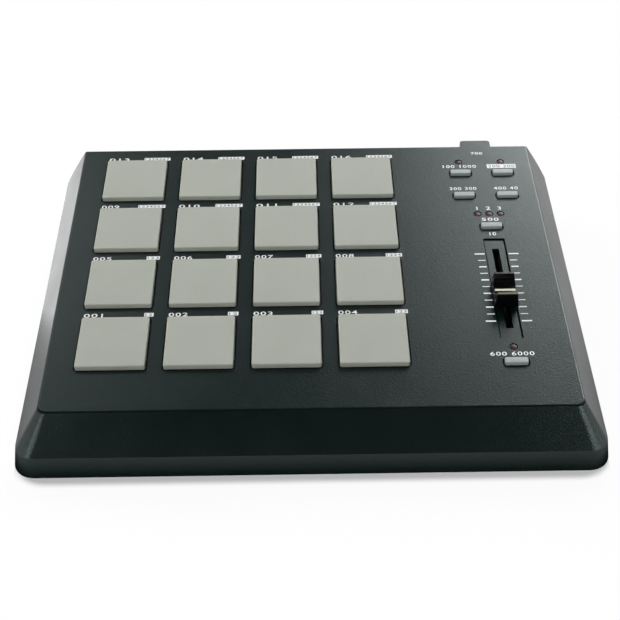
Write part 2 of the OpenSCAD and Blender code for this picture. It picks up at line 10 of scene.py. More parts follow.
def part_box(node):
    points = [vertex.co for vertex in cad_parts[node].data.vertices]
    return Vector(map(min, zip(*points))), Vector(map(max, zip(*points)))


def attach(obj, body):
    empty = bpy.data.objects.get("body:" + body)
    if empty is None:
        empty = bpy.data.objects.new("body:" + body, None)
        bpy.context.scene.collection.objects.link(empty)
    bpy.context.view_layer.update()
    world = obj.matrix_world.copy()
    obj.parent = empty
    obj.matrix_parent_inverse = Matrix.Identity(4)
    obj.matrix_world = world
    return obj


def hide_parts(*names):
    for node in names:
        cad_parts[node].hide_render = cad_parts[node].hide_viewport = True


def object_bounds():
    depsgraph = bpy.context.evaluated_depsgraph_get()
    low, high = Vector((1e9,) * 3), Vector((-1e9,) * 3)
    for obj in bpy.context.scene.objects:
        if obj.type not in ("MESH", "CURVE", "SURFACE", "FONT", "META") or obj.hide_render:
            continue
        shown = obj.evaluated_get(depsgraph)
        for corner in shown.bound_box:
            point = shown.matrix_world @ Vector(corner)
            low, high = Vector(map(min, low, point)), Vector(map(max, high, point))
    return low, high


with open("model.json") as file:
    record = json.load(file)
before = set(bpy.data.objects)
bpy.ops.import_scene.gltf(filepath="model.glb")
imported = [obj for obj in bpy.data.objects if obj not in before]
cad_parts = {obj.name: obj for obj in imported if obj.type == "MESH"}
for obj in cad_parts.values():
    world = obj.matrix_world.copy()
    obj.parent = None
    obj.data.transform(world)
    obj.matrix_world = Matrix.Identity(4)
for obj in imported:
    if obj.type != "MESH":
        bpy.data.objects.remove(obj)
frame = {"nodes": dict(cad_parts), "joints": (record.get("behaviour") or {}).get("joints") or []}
cad_box = [list(corner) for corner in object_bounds()]
scene = bpy.context.scene
scene.view_settings.view_transform = "Standard"


# Stage: the controller stands on white sweep paper that rises behind it. Soft lamps at the rear left,
# the rear and the front light it. Lamps that show only as sheen serve the panel, the left bevel and the
# front corners.
class Wire:
    """A socket in a node tree. Operators on it add Math nodes, and make() adds any other node."""

    def __init__(self, tree, socket=None):
        self.tree = tree
        self.socket = socket

    def make(self, kind, settings, values, out=0):
        node = self.tree.nodes.new(kind)
        for key, setting in settings.items():
            setattr(node, key, setting)
        for key, value in values.items():
            if isinstance(value, Wire):
                self.tree.links.new(value.socket, node.inputs[key])
            else:
                node.inputs[key].default_value = value
        return Wire(self.tree, node.outputs[out])

    def maths(self, operation, *values):
        return self.make("ShaderNodeMath", {"operation": operation}, dict(enumerate(values)))

    def __add__(self, other):
        return self.maths("ADD", self, other)

    __radd__ = __add__

    def __sub__(self, other):
        return self.maths("SUBTRACT", self, other)

    def __rsub__(self, other):
        return self.maths("SUBTRACT", other, self)

    def __mul__(self, other):
        return self.maths("MULTIPLY", self, other)

    __rmul__ = __mul__

    def tint(self, low, high):
        """A colour that goes from low to high as this value goes from 0 to 1."""
        return self.make("ShaderNodeMix", {"data_type": "RGBA"}, {0: self, 6: low, 7: high}, 2)


def shade(red, green, blue):
    return (red, green, blue, 1)


camera = bpy.data.objects.new("camera", bpy.data.cameras.new("camera"))
camera.data.lens = 71.006
camera.data.sensor_width = 36
camera.data.clip_start = 0.01
camera.location = (-0.004053, -0.448098, 0.391893)
camera.rotation_euler = [math.radians(turn) for turn in (49.5906, 0.3078, -0.8330)]
scene.collection.objects.link(camera)
scene.camera = camera


def soft_lamp(name, place, size, watts, matt=True, mirrored=True, aim=(0, 0, 0)):
    """An area lamp that looks at the aim. Its place is a turn to the right from straight behind the aim
    and a rise, both in degrees, and a distance in metres."""
    turn, rise, distance = math.radians(place[0]), math.radians(place[1]), place[2]
    away = Vector((math.sin(turn) * math.cos(rise), math.cos(turn) * math.cos(rise), math.sin(rise)))
    lamp = bpy.data.lights.new(name, "AREA")
    lamp.shape = "RECTANGLE"
    lamp.size, lamp.size_y = size
    lamp.energy = watts
    stand = bpy.data.objects.new(name, lamp)
    stand.location = Vector(aim) + distance * away
    stand.rotation_euler = (-away).to_track_quat("-Z", "Y").to_euler()
    stand.visible_camera = False
    stand.visible_diffuse = matt
    stand.visible_glossy = mirrored
    scene.collection.objects.link(stand)


soft_lamp("left_lamp", (-56, 32, 1.5), (1.1, 0.8), watts=18.0, mirrored=False)
soft_lamp("rear_lamp", (18, 48, 1.6), (0.8, 0.6), watts=16.0, mirrored=False)
soft_lamp("front_lamp", (180, 28, 1.4), (0.6, 0.6), watts=10.0, mirrored=False)
soft_lamp("right_panel_sheen", (34, 29, 1.6), (1.1, 0.5), watts=18.5, matt=False)
soft_lamp("rear_panel_sheen", (24, 44, 1.6), (0.5, 0.35), watts=0.9, matt=False)
soft_lamp("left_panel_sheen", (-36, 40, 1.6), (0.8, 0.5), watts=3.5, matt=False)
left_floor = (-0.165, 0.105, 0.001)
left_corner = (-0.113, -0.088, 0.02)
right_corner = (0.113, -0.088, 0.02)
soft_lamp("left_bevel_sheen", (0, -90, 0), (0.10, 0.17), watts=0.09, matt=False, aim=left_floor)
soft_lamp("left_side_sheen", (-112, 8, 0.3), (0.3, 0.07), watts=0.13, matt=False, aim=left_corner)
soft_lamp("right_side_sheen", (112, 8, 0.3), (0.3, 0.07), watts=0.15, matt=False, aim=right_corner)
soft_lamp("left_corner_sheen", (-143, 21, 0.3), (0.12, 0.08), watts=0.18, matt=False, aim=left_corner)
soft_lamp("right_corner_sheen", (141, 21, 0.3), (0.12, 0.08), watts=0.21, matt=False, aim=right_corner)


def fade(value, start, end):
    """0 below start, 1 above end, soft between them."""
    settings = {"interpolation_type": "SMOOTHSTEP"}
    return value.make("ShaderNodeMapRange", settings, {0: value, 1: start, 2: end})


def seen_by(tree_wire):
    """1 for rays from the camera, and 1 for mirrored or refracted rays."""
    node = tree_wire.make("ShaderNodeLightPath", {}, {}).socket.node
    direct, mirrored, refracted = (
        Wire(tree_wire.tree, node.outputs[ray])
        for ray in ("Is Camera Ray", "Is Glossy Ray", "Is Transmission Ray")
    )
    return direct, direct.maths("MAXIMUM", mirrored, refracted)


world = bpy.data.worlds.new("studio")
world.use_nodes = True
scene.world = world
room = Wire(world.node_tree)
direction = room.make("ShaderNodeTexCoord", {}, {}, "Generated")
rearward, upward = (
    room.make("ShaderNodeSeparateXYZ", {}, {0: direction}, axis) for axis in ("Y", "Z")
)
rise_begins, rise_full = 0.3, 0.7
rise_fades, rise_ends = 0.08, 0.35
risen_paper = fade(rearward, rise_begins, rise_full) * (1 - fade(upward, rise_fades, rise_ends))
room_glow = 0.04
direct, mirrored = seen_by(room)
brightness = room.maths("MAXIMUM", room_glow, room.maths("MAXIMUM", direct, mirrored * risen_paper))
world.node_tree.links.new(brightness.socket, world.node_tree.nodes["Background"].inputs["Strength"])
world.node_tree.nodes["Background"].inputs["Color"].default_value = shade(1, 1, 1)

paper_reach, paper_front = 2.5, -0.24
paper_mesh = bpy.data.meshes.new("sweep_paper")
paper_mesh.from_pydata(
    [(-paper_reach, paper_front, 0), (paper_reach, paper_front, 0), (paper_reach, paper_reach, 0),
     (-paper_reach, paper_reach, 0)], [], [(0, 1, 2, 3)]
)
paper = bpy.data.objects.new("sweep_paper", paper_mesh)
scene.collection.objects.link(paper)
paper_white = bpy.data.materials.new("sweep_paper")
paper_white.use_nodes = True
sheet = Wire(paper_white.node_tree)
spot = sheet.make("ShaderNodeTexCoord", {}, {}, "Object")
past = []
for axis, low, high in zip("XY", *cad_box):
    value = sheet.make("ShaderNodeSeparateXYZ", {}, {0: spot}, axis)
    past.append(value.maths("ABSOLUTE", value - (low + high) / 2) - (high - low) / 2)
case_corner = 0.014
beside, beyond = (sheet.maths("MAXIMUM", side + case_corner, 0) for side in past)
from_corner = sheet.maths("SQRT", beside * beside + beyond * beyond)
gap = sheet.maths("MAXIMUM", from_corner - case_corner, 0)
side_shade, contact_shade = 5, 0.0045
far_shade_begins, far_shade_ends = 0.03, 0.12
under_case, near_case, open_paper = 0.25, 0.69, 0.06
mirror_begins, mirror_full = 0.006, 0.026
shaded_gap = gap + side_shade * sheet.maths("MAXIMUM", past[0], 0)
direct, mirrored = seen_by(sheet)
white_to_camera = (
    under_case + near_case * fade(shaded_gap, 0.0, contact_shade)
    + open_paper * fade(gap, far_shade_begins, far_shade_ends)
)
# Painted shadow: mirrored rays see only glow, dimmed to nothing close to the case.
mirror_glow_with_painted_shadow = fade(gap, mirror_begins, mirror_full)
plain_white = sheet.maths("MAXIMUM", direct * white_to_camera, mirrored)
matt_paper = sheet.make("ShaderNodeBsdfDiffuse", {}, {"Color": shade(0.92, 0.92, 0.92)})
glow_paper = sheet.make(
    "ShaderNodeEmission", {}, {"Color": shade(1, 1, 1), "Strength": direct + mirrored * mirror_glow_with_painted_shadow}
)
paper_mix = sheet.make("ShaderNodeMixShader", {}, {0: plain_white, 1: matt_paper, 2: glow_paper})
paper_white.node_tree.links.new(
    paper_mix.socket, paper_white.node_tree.nodes["Material Output"].inputs["Surface"]
)
paper_mesh.materials.append(paper_white)


# Top housing: one moulding of dark grey plastic with a fine spark-eroded grain. The sloping panel, the
# bevels, the upright band and the socket's hump are one skin, and the moulding tool leaves every edge
# slightly rounded.
def start_finish(name):
    """A new material, its shader and the piece's own coordinates in metres."""
    material = bpy.data.materials.new(name)
    material.use_nodes = True
    shader = material.node_tree.nodes["Principled BSDF"]
    place = Wire(material.node_tree).make("ShaderNodeTexCoord", {}, {}, "Object")
    return material, shader, place


def grain(place, per_metre, detail=2.0):
    """Noise from 0 to 1 with about that many grains to the metre."""
    return place.make(
        "ShaderNodeTexNoise", {"noise_dimensions": "3D"},
        {"Vector": place, "Scale": per_metre, "Detail": detail}, "Fac",
    )


def dress(shader, values):
    """Sets or links the sockets of a material's shader."""
    for key, value in values.items():
        if isinstance(value, Wire):
            value.tree.links.new(value.socket, shader.inputs[key])
        else:
            shader.inputs[key].default_value = value


def roughen(height, metres, strength):
    """A surface normal from a height that spans that many metres."""
    values = {"Height": height, "Distance": metres, "Strength": strength}
    return height.make("ShaderNodeBump", {}, values)


def toned(colour, share):
    """The colour made darker or paler by a share."""
    return shade(*[share * channel for channel in colour])


def moulded_plastic(name, colour, rough, per_metre=2600, relief=0.000003, gloss=0.5, sheen=(1, 1, 1)):
    """Plastic with spark-eroded grain: cloudy and speckled colour, uneven gloss."""
    clouds_per_metre, cloud_detail = 45, 3.0
    darkest, palest, rough_spread = 0.75, 1.25, 0.12
    material, shader, place = start_finish(name)
    speck = grain(place, per_metre)
    cloud = grain(place, clouds_per_metre, cloud_detail)
    tone = speck * 0.5 + cloud * 0.5
    dress(shader, {
        "Base Color": tone.tint(toned(colour, darkest), toned(colour, palest)),
        "Roughness": rough - rough_spread / 2 + rough_spread * cloud,
        "Specular IOR Level": gloss,
        "Specular Tint": shade(*sheen),
        "Normal": roughen(speck, relief, strength=1.0),
    })
    return material


press_axis = next(joint for joint in frame["joints"] if joint["name"] == "pad_1_press")["axis"]
out_of_panel = -Vector(press_axis)
up_slope = out_of_panel.cross(Vector((1, 0, 0)))
to_panel = np.array([(1, 0, 0), up_slope, out_of_panel], float).T
mm_in_metre = 1000
to_metres = Matrix.Scale(1 / mm_in_metre, 4)


def corners(node):
    """The node's points in panel millimetres: across, up the slope, out of the panel."""
    vertices = frame["nodes"][node].data.vertices
    points = np.zeros(len(vertices) * 3, np.float32)
    vertices.foreach_get("co", points)
    return mm_in_metre * points.reshape(-1, 3).astype(float) @ to_panel


panel_level = corners("top_housing")[:, 2].max() / mm_in_metre
panel = Matrix.Translation(out_of_panel * panel_level) @ Matrix((
    (1, up_slope.x, out_of_panel.x), (0, up_slope.y, out_of_panel.y), (0, up_slope.z, out_of_panel.z),
)).to_4x4() @ to_metres


def middle(node):
    """Where a node stands on the panel, in panel millimetres."""
    points = corners(node)
    return (points.min(0) + points.max(0))[:2] / 2


def reach(node):
    """Width and depth of a node in panel millimetres."""
    points = corners(node)
    return (points.max(0) - points.min(0))[:2]


def above_panel(node):
    """Width and depth of the part of a node that stands out of the panel, and its height."""
    clear_of_panel = 0.1
    heights = corners(node)[:, 2] - mm_in_metre * panel_level
    points = corners(node)[heights > clear_of_panel]
    return (points.max(0) - points.min(0))[:2], heights.max()


def add_piece(name, mesh, material, body, stands_for=()):
    """Puts a finished mesh into the scene, on its CAD body."""
    piece = bpy.data.objects.new(name, mesh)
    scene.collection.objects.link(piece)
    if material:
        mesh.materials.clear()
        mesh.materials.append(material)
    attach(piece, body)
    if stands_for:
        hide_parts(*stands_for)


def settled_mesh(carrier):
    """The plain mesh that a carrier's modifiers or letters give. The carrier is removed."""
    bpy.context.view_layer.update()
    graph = bpy.context.evaluated_depsgraph_get()
    mesh = bpy.data.meshes.new_from_object(carrier.evaluated_get(graph))
    bpy.data.objects.remove(carrier)
    return mesh


def merged_copy(node):
    """The node's skin with its triangles joined into faces."""
    same_point, same_face = 2e-6, math.radians(0.4)
    skin = bmesh.new()
    skin.from_mesh(frame["nodes"][node].data)
    bmesh.ops.remove_doubles(skin, verts=skin.verts, dist=same_point)
    bmesh.ops.dissolve_limit(skin, angle_limit=same_face, verts=skin.verts, edges=skin.edges)
    return skin


def softened(node, name, radius, sharpest, material, body):
    """A copy with sharp edges rounded and flat faces shaded flat, in place of the node."""
    skin = merged_copy(node)
    mesh = bpy.data.meshes.new(name)
    skin.to_mesh(mesh)
    skin.free()
    mesh.shade_smooth()
    carrier = bpy.data.objects.new(name, mesh)
    scene.collection.objects.link(carrier)
    rounding = carrier.modifiers.new("rounding", "BEVEL")
    rounding.width = radius
    rounding.segments = 2
    rounding.limit_method = "ANGLE"
    rounding.angle_limit = math.radians(sharpest)
    flats = carrier.modifiers.new("flats", "WEIGHTED_NORMAL")
    flats.mode = "FACE_AREA"
    flats.weight = 100
    add_piece(name, settled_mesh(carrier), material, body, [node])


case_plastic = moulded_plastic(
    "case_plastic", (0.0012, 0.0060, 0.0054), rough=0.32, per_metre=1700, relief=0.0001,
    sheen=(0.82, 1.0, 0.97),
)
edge_radius, housing_edge = 0.0003, 15
softened("top_housing", "moulded_housing", edge_radius, housing_edge, case_plastic, "case")


# Printing on the panel: white ink laid on by pad printing, about 0.03 mm thick. Plain numbers stand over
# the pads and keys, small plates carry dark figures, and a scale of ticks stands on both sides of the fader.
ink_thickness = 0.03


def printing_ink(name, colour):
    """Ink with small thin spots in it."""
    spots_per_metre, spot_detail, thin_share = 3500, 3.0, 0.82
    thinnest, full = 0.35, 0.55
    rough, rough_spread = 0.5, 0.1
    material, shader, place = start_finish(name)
    spots = grain(place, spots_per_metre, spot_detail)
    worn = spots.make("ShaderNodeMapRange", {}, {0: spots, 1: thinnest, 2: full})
    dress(shader, {
        "Base Color": worn.tint(toned(colour, thin_share), shade(*colour)),
        "Roughness": rough + rough_spread * spots,
    })
    return material


white_ink = printing_ink("white_ink", (0.80, 0.82, 0.82))
dark_ink = printing_ink("dark_ink", (0.16, 0.17, 0.18))


def new_tree(name, **inputs):
    """An empty geometry tree with named inputs, and a wire from each of them."""
    tree = bpy.data.node_groups.new(name, "GeometryNodeTree")
    for label, kind in inputs.items():
        tree.interface.new_socket(label, in_out="INPUT", socket_type="NodeSocket" + kind)
    tree.interface.new_socket("Mesh", in_out="OUTPUT", socket_type="NodeSocketGeometry")
    entry = tree.nodes.new("NodeGroupInput")
    return tree, {label: Wire(tree, entry.outputs[label]) for label in inputs}


def close_tree(instances, finish):
    """Makes the tree's instances real, gives them their finish and ends the tree."""
    real = instances.make("GeometryNodeRealizeInstances", {}, {0: instances})
    painted = real.make("GeometryNodeSetMaterial", {}, {"Geometry": real, "Material": finish})
    leaving = real.tree.nodes.new("NodeGroupOutput")
    real.tree.links.new(painted.socket, leaving.inputs["Mesh"])


def grown(tree, points=(), **values):
    """The plain mesh that a geometry tree makes with these points and values."""
    mesh = bpy.data.meshes.new(tree.name)
    mesh.from_pydata(points, [], [])
    carrier = bpy.data.objects.new(tree.name, mesh)
    scene.collection.objects.link(carrier)
    modifier = carrier.modifiers.new(tree.name, "NODES")
    modifier.node_group = tree
    for item in tree.interface.items_tree:
        if item.in_out == "INPUT" and item.name in values:
            modifier[item.identifier] = values[item.name]
    return settled_mesh(carrier)


def ink_bars(tree_wires, count, across, along, length, width):
    """Bars of ink: one at each of count points, with their places and sizes as wires."""
    start = tree_wires["Ink"]
    points = start.make("GeometryNodeMeshLine", {}, {"Count": count})
    place = start.make("ShaderNodeCombineXYZ", {}, {0: across, 1: along, 2: start * 0.5})
    points = start.make("GeometryNodeSetPosition", {}, {"Geometry": points, "Position": place})
    bar = start.make("GeometryNodeMeshCube", {}, {"Size": (1, 1, 1)})
    size = start.make("ShaderNodeCombineXYZ", {}, {0: length, 1: width, 2: start})
    values = {"Points": points, "Instance": bar, "Scale": size}
    close_tree(start.make("GeometryNodeInstanceOnPoints", {}, values), tree_wires["Finish"])


tick_tree, tick = new_tree(
    "tick_scale", Ticks="Int", Pitch="Float", Inner="Float", Long="Float", Short="Float", Bold="Float",
    Fine="Float", Ink="Float", Finish="Material",
)
close_enough = 0.1
number = tick["Ink"].make("GeometryNodeInputIndex", {}, {})
row = number.maths("FLOOR", number * 0.5)
side = (number - row * 2) * 2 - 1
at_front = row.maths("COMPARE", row, 0, close_enough)
at_rear = row.maths("COMPARE", row, tick["Ticks"] - 1, close_enough)
at_end = row.maths("MINIMUM", at_front + at_rear, 1)
is_fine = row.maths("MODULO", row, 2)
length = tick["Short"] + (tick["Long"] - tick["Short"]) * at_end
ink_bars(
    tick, tick["Ticks"] * 2, side * (tick["Inner"] + length * 0.5),
    (row - (tick["Ticks"] - 1) * 0.5) * tick["Pitch"], length,
    tick["Bold"] + (tick["Fine"] - tick["Bold"]) * is_fine,
)

plate_tree, plate = new_tree(
    "label_plates", Columns="Int", Rows="Int", Pitch="Float", Edge="Float", Above="Float",
    Narrow="Float", Growth="Float", Wide="Float", Height="Float", Ink="Float", Finish="Material",
)
growing_rows, pads_in_row = 2, 4
number = plate["Ink"].make("GeometryNodeInputIndex", {}, {})
column = number.maths("MODULO", number, plate["Columns"])
row = number.maths("FLOOR", number.maths("DIVIDE", number, plate["Columns"]))
is_front = row.maths("LESS_THAN", row, growing_rows)
grown_length = plate["Narrow"] + plate["Growth"] * (column + row * pads_in_row)
length = is_front * grown_length + (1 - is_front) * plate["Wide"]
ink_bars(
    plate, plate["Columns"] * plate["Rows"],
    (column - (plate["Columns"] - 1) * 0.5) * plate["Pitch"] + plate["Edge"] - length * 0.5,
    (row - (plate["Rows"] - 1) * 0.5) * plate["Pitch"] + plate["Above"], length, plate["Height"],
)


def numeral(value, high, wide=None, align="CENTER"):
    """A printed number of that height and width in millimetres, with its foot on the origin."""
    natural_spread = 1.35
    letters = bpy.data.curves.new("numeral", "FONT")
    letters.body = str(value)
    letters.align_x = align
    letters.space_character = 1.15
    letters.resolution_u = 4
    letters.extrude = 0.5
    letters.offset = 0.012
    carrier = bpy.data.objects.new("numeral", letters)
    scene.collection.objects.link(carrier)
    mesh = settled_mesh(carrier)
    ends = [point.co.x for point in mesh.vertices]
    heights = [point.co.y for point in mesh.vertices]
    grow = high / (max(heights) - min(heights))
    spread = wide / (max(ends) - min(ends)) if wide else natural_spread * grow
    start = min(ends) if align == "LEFT" else (min(ends) + max(ends)) / 2
    to_origin = Matrix.Translation((-start, -min(heights), letters.extrude))
    mesh.transform(Matrix.Diagonal((spread, grow, ink_thickness, 1)) @ to_origin)
    return mesh


def moved(mesh, across, along, out=0):
    mesh.transform(Matrix.Translation((across, along, out)))
    return mesh


def joined(name, meshes):
    """All of these meshes, given in panel millimetres, as one mesh on the panel."""
    together = bmesh.new()
    for mesh in meshes:
        together.from_mesh(mesh)
    result = bpy.data.meshes.new(name)
    together.to_mesh(result)
    together.free()
    result.transform(panel)
    return result


pad_count = pads_in_row ** 2
pads = [f"pad_{number}" for number in range(1, pad_count + 1)]
pad_pitch = middle("pad_2")[0] - middle("pad_1")[0]
pad_face, pad_top = above_panel("pad_1")
pad_width, pad_depth = pad_face
grid_middle = (middle("pad_1") + middle("pad_16")) / 2
keys = ("upper_left", "upper_right", "middle_left", "middle_right", "bank", "lower")
key_places = {key: middle(key + "_button") for key in keys}
white_print, dark_print = [], []

label_height, label_foot, label_inset = 2.35, 1.85, 0.2
short_label, long_label, first_long_label = 8.6, 10.2, 10
plate_middle, plate_height, plate_overhang = 3.2, 2.3, 1.3
narrow_plate, plate_growth, wide_plate = 4.2, 0.5, 13.4
figure_height, figure_pitch, figure_margin = 1.5, 1.7, 1.0
white_print.append(moved(grown(
    plate_tree, Columns=pads_in_row, Rows=pads_in_row, Pitch=pad_pitch,
    Edge=pad_width / 2 + plate_overhang, Above=pad_depth / 2 + plate_middle, Narrow=narrow_plate,
    Growth=plate_growth, Wide=wide_plate, Height=plate_height, Ink=ink_thickness, Finish=white_ink,
), *grid_middle))
for number, pad in enumerate(pads, 1):
    across, along = middle(pad)
    left, right, rear = across - pad_width / 2, across + pad_width / 2, along + pad_depth / 2
    label_width = short_label if number < first_long_label else long_label
    label = numeral(f"{number:03}", label_height, label_width, "LEFT")
    white_print.append(moved(label, left + label_inset, rear + label_foot))
    is_growing = number <= growing_rows * pads_in_row
    plate_width = narrow_plate + plate_growth * (number - 1) if is_growing else wide_plate
    count = "12345678"[:int(plate_width / figure_pitch)]
    dark_print.append(moved(
        numeral(count, figure_height, plate_width - figure_margin),
        right + plate_overhang - plate_width / 2, rear + plate_middle - figure_height / 2, ink_thickness,
    ))

key_labels = {
    "upper_left": ("100 1000", 17.1, 4.6),
    "middle_left": ("300 300", 13.5, 4.6),
    "middle_right": ("400 40", 12.2, 4.6),
    "bank": ("500", 8.3, 4.2),
    "lower": ("600 6000", 19.3, 3.8),
}
key_label_height, lower_label_aside = 2.3, -1.2
for key, (figures, wide, foot) in key_labels.items():
    across, along = key_places[key]
    aside = lower_label_aside if key == "lower" else 0
    white_print.append(moved(numeral(figures, key_label_height, wide), across + aside, along + foot))
box_middle, box_width, box_height = 5.7, 14.8, 3.2
box_figure_height, box_margin = 2.0, 1.2
across, along = key_places["upper_right"]
white_print.append(moved(grown(
    plate_tree, Columns=1, Rows=1, Pitch=1.0, Edge=box_width / 2, Above=box_middle, Narrow=box_width,
    Growth=0.0, Wide=box_width, Height=box_height, Ink=ink_thickness, Finish=white_ink,
), across, along))
dark_print.append(moved(
    numeral("200 200", box_figure_height, box_width - box_margin), across,
    along + box_middle - box_figure_height / 2, ink_thickness,
))
lamp_pitch, lamp_figure_height, lamp_figure_foot = 5.5, 2.5, 12.6
fader_figure_height, fader_figure_width, fader_figure_foot = 2.4, 3.2, -6.6
column_middle, along = key_places["bank"]
for number, step in enumerate((-lamp_pitch, 0, lamp_pitch), 1):
    figure = numeral(number, lamp_figure_height)
    white_print.append(moved(figure, column_middle + step, along + lamp_figure_foot))
figure = numeral(10, fader_figure_height, fader_figure_width)
white_print.append(moved(figure, column_middle, along + fader_figure_foot))
socket_figure_height, socket_figure_width = 2.0, 6.0
socket_figure_aside, socket_figure_foot = 10.0, 15.6
across, along = key_places["upper_left"]
figure = numeral(700, socket_figure_height, socket_figure_width)
white_print.append(moved(figure, across + socket_figure_aside, along + socket_figure_foot))
white_print.append(moved(grown(
    tick_tree, Ticks=11, Pitch=4.5, Inner=5.75, Long=4.65, Short=3.5, Bold=0.8, Fine=0.5,
    Ink=ink_thickness, Finish=white_ink,
), column_middle, middle("fader_case")[1]))
add_piece("panel_print", joined("panel_print", white_print), white_ink, "case")
add_piece("plate_print", joined("plate_print", dark_print), dark_ink, "case")


# Pads: sixteen blocks of light grey silicone rubber, compression moulded, with rounded top edges. A lip
# under the panel keeps each one in its opening, and a square foot below it presses the film.
def rounded_ring(width, depth, corner, height, steps=5):
    """Points round a rectangle with rounded corners."""
    ring = []
    for side_x, side_y, turn in ((1, 1, 0), (-1, 1, 90), (-1, -1, 180), (1, -1, 270)):
        for step in range(steps + 1):
            angle = math.radians(turn + 90 * step / steps)
            ring.append((
                side_x * (width / 2 - corner) + corner * math.cos(angle),
                side_y * (depth / 2 - corner) + corner * math.sin(angle),
                height,
            ))
    return ring


def lofted(name, rings, capped=True):
    """A skin through rings of the same count. It is closed by its first and last ring, or else it runs on
    from the last ring to the first."""
    skin = bmesh.new()
    loops = [[skin.verts.new(point) for point in ring] for ring in rings]
    following = loops[1:] if capped else loops[1:] + loops[:1]
    for lower, upper in zip(loops, following):
        for i in range(len(lower)):
            j = (i + 1) % len(lower)
            skin.faces.new((lower[i], lower[j], upper[j], upper[i]))
    if capped:
        skin.faces.new(reversed(loops[0]))
        skin.faces.new(loops[-1])
    mesh = bpy.data.meshes.new(name)
    skin.to_mesh(mesh)
    skin.free()
    return mesh


def smooth(mesh, degrees):
    """Smooth shading, apart from edges sharper than that."""
    mesh.shade_smooth()
    mesh.set_sharp_from_angle(angle=math.radians(degrees))


def soft_top(width, depth, corner, edge, top):
    """Rings of a rounded top edge and a slightly crowned face."""
    arc_steps, smallest_corner, crown = 7, 0.12, 0.1
    crown_shares = (0.97, 0.75, 0.5, 0.25, 0.02)
    rings = []
    for step in range(arc_steps + 1):
        angle = math.radians(90 * step / arc_steps)
        inset = edge * (1 - math.cos(angle))
        rings.append(rounded_ring(
            width - 2 * inset, depth - 2 * inset, max(corner - inset, smallest_corner),
            top - edge * (1 - math.sin(angle)),
        ))
    for share in crown_shares:
        rings.append(rounded_ring(
            (width - 2 * edge) * share, (depth - 2 * edge) * share,
            max(corner - edge, smallest_corner) * share, top + crown * (1 - share * share),
        ))
    return rings


lip_high, lip_low, foot_low = -2.6, -3.8, -4.8


def rubber_block(name, foot, foot_corner, lip, lip_corner, face, face_corner, edge, top):
    """A foot, a lip below the panel and a face that stands out of it."""
    block = lofted(name, [
        rounded_ring(foot, foot, foot_corner, foot_low),
        rounded_ring(foot, foot, foot_corner, lip_low),
        rounded_ring(*lip, lip_corner, lip_low),
        rounded_ring(*lip, lip_corner, lip_high),
        rounded_ring(*face, face_corner, lip_high),
        *soft_top(*face, face_corner, edge, top),
    ])
    smooth(block, degrees=50)
    return block


def silicone(name, colour, rough, bleed=0.0):
    """Moulded rubber. With some bleed, light that enters at the top leaves through the sides."""
    specks_per_metre, clouds_per_metre, detail = 1700, 60, 3.0
    darkest, palest, rough_spread = 0.9, 1.1, 0.1
    speck_share, relief, relief_strength = 0.6, 0.00002, 0.25
    material, shader, place = start_finish(name)
    speck = grain(place, specks_per_metre, detail)
    cloud = grain(place, clouds_per_metre, detail)
    tone = speck * speck_share + cloud * (1 - speck_share)
    dress(shader, {
        "Base Color": tone.tint(toned(colour, darkest), toned(colour, palest)),
        "Roughness": rough - rough_spread / 2 + rough_spread * cloud,
        "Normal": roughen(speck, relief, relief_strength),
        "Subsurface Weight": bleed,
        "Subsurface Radius": (0.0032, 0.0030, 0.0022),
        "Subsurface Scale": 1.0,
    })
    return material


pad_rubber = silicone("pad_rubber", (0.362, 0.379, 0.336), rough=0.62, bleed=0.55)
pad_lip = reach("pad_1")
pad_foot, pad_foot_corner, pad_lip_corner, pad_corner, pad_edge = 20, 0.6, 2.6, 1.0, 0.6
for pad in pads:
    block = rubber_block(
        pad, pad_foot, pad_foot_corner, pad_lip, pad_lip_corner, pad_face, pad_corner, pad_edge, pad_top
    )
    block.transform(panel @ Matrix.Translation((*middle(pad), 0)))
    add_piece(pad + "_block", block, pad_rubber, pad, [pad])


# Keys: six small grey rubber buttons, moulded with a lip under the panel and a round stem that stands on
# the plunger of a push switch. The black plungers are part of the switches on the board below.
key_rubber = silicone("key_rubber", (0.29, 0.32, 0.325), rough=0.5)
key_face, key_top = above_panel("bank_button")
key_lip = reach("bank_button")
key_stem, key_lip_corner, key_corner, key_edge = 3.4, 0.3, 0.8, 0.45
for key, place in key_places.items():
    block = rubber_block(
        key, key_stem, key_stem / 2, key_lip, key_lip_corner, key_face, key_corner, key_edge, key_top
    )
    block.transform(panel @ Matrix.Translation((*place, 0)))
    add_piece(key + "_cap", block, key_rubber, key + "_key", [key + "_button"])


def paint(material, *nodes):
    """Gives CAD nodes whose shape stays their finish."""
    for node in nodes:
        mesh = frame["nodes"][node].data
        mesh.materials.clear()
        mesh.materials.append(material)


switch_black = moulded_plastic("switch_black", (0.012, 0.012, 0.012), rough=0.5)
paint(switch_black, "switch_bodies", *[key + "_plunger" for key in keys])


# Rims: a thin black ring round the opening of every pad and key is painted shade. It stands for the shadow
# in the gap and on the opening's rounded edge, and shows as a fine dark line round each pad and key.
shade_ring_sunk, shade_ring_rise, shade_ring_width = 0.35, 0.012, 0.4
pad_gap, key_gap = 0.4, 0.45


def rim(face, corner, gap):
    """A thin ring of painted shade on the panel round a rounded opening, from its edge outwards."""
    inner = [side + 2 * gap for side in face]
    outer = [side + 2 * (gap + shade_ring_width) for side in face]
    return lofted("rim", [
        rounded_ring(*outer, corner + gap + shade_ring_width, -shade_ring_sunk),
        rounded_ring(*outer, corner + gap + shade_ring_width, shade_ring_rise),
        rounded_ring(*inner, corner + gap, shade_ring_rise),
        rounded_ring(*inner, corner + gap, -shade_ring_sunk),
    ], capped=False)


# Painted shade: a black ring round each pad and key opening.
shade_rings = [moved(rim(pad_face, pad_corner, pad_gap), *middle(pad)) for pad in pads]
shade_rings += [moved(rim(key_face, key_corner, key_gap), *place) for place in key_places.values()]
shadow_black = moulded_plastic("shadow_black", (0.0006, 0.0008, 0.0008), rough=0.9, gloss=0.1)
add_piece("opening_rims", joined("opening_rims", shade_rings), shadow_black, "case")


